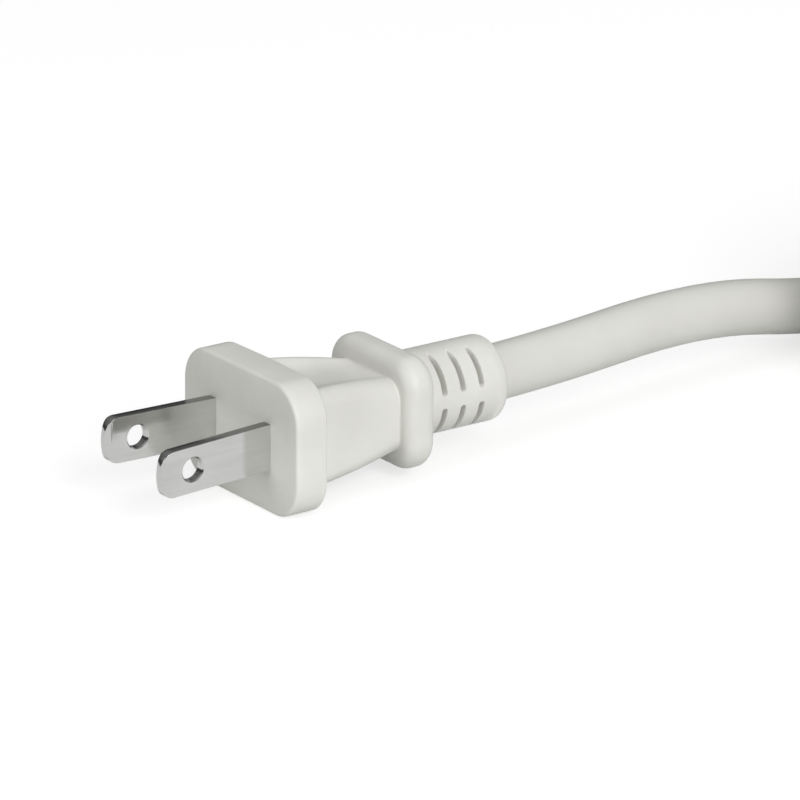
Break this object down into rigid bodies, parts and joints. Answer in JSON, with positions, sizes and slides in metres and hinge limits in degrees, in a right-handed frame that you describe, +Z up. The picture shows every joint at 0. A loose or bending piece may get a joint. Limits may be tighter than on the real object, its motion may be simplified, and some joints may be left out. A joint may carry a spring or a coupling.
{
  "type": "type a plug",
  "caption": "Flat-blade mains plug moulded onto a round cord, with a front flange, tapered waist, grip flange and slotted strain relief, its spare cord tied in a hank.",
  "frame": {"origin": "centre of the flat face that meets the socket, midway between the blades", "axes": "+X from the blades back along the cord, +Y across from one blade to the other, +Z up; the plug lies with the underside of its front flange on the surface"},
  "size_m": [0.2431, 0.0702, 0.0235],
  "materials": {
    "body_pvc": "satin moulded PVC",
    "cord_pvc": "satin extruded PVC",
    "blade_nickel": "nickel plated, rolled and stamped",
    "bridge_plastic": "moulded, sealed inside",
    "copper": "stranded copper, sealed inside",
    "tinned_copper": "tinned strands",
    "insulation_dark": "extruded PVC",
    "insulation_pale": "extruded PVC",
    "tie_plastic": "plastic-coated wire"
  },
  "bodies": {
    "root": {"plug_body": "body_pvc", "blade_left": "blade_nickel", "blade_right": "blade_nickel", "blade_bridge": "bridge_plastic", "core_left_wire": "copper", "core_left_insulation": "insulation_dark", "core_right_wire": "copper", "core_right_insulation": "insulation_pale", "cord_run": "cord_pvc", "cord_hank": "cord_pvc", "hank_tie": "tie_plastic", "cord_tail": "cord_pvc", "lead_left_wire": "tinned_copper", "lead_left_insulation": "insulation_dark", "lead_right_wire": "tinned_copper", "lead_right_insulation": "insulation_pale"}
  },
  "joints": []
}
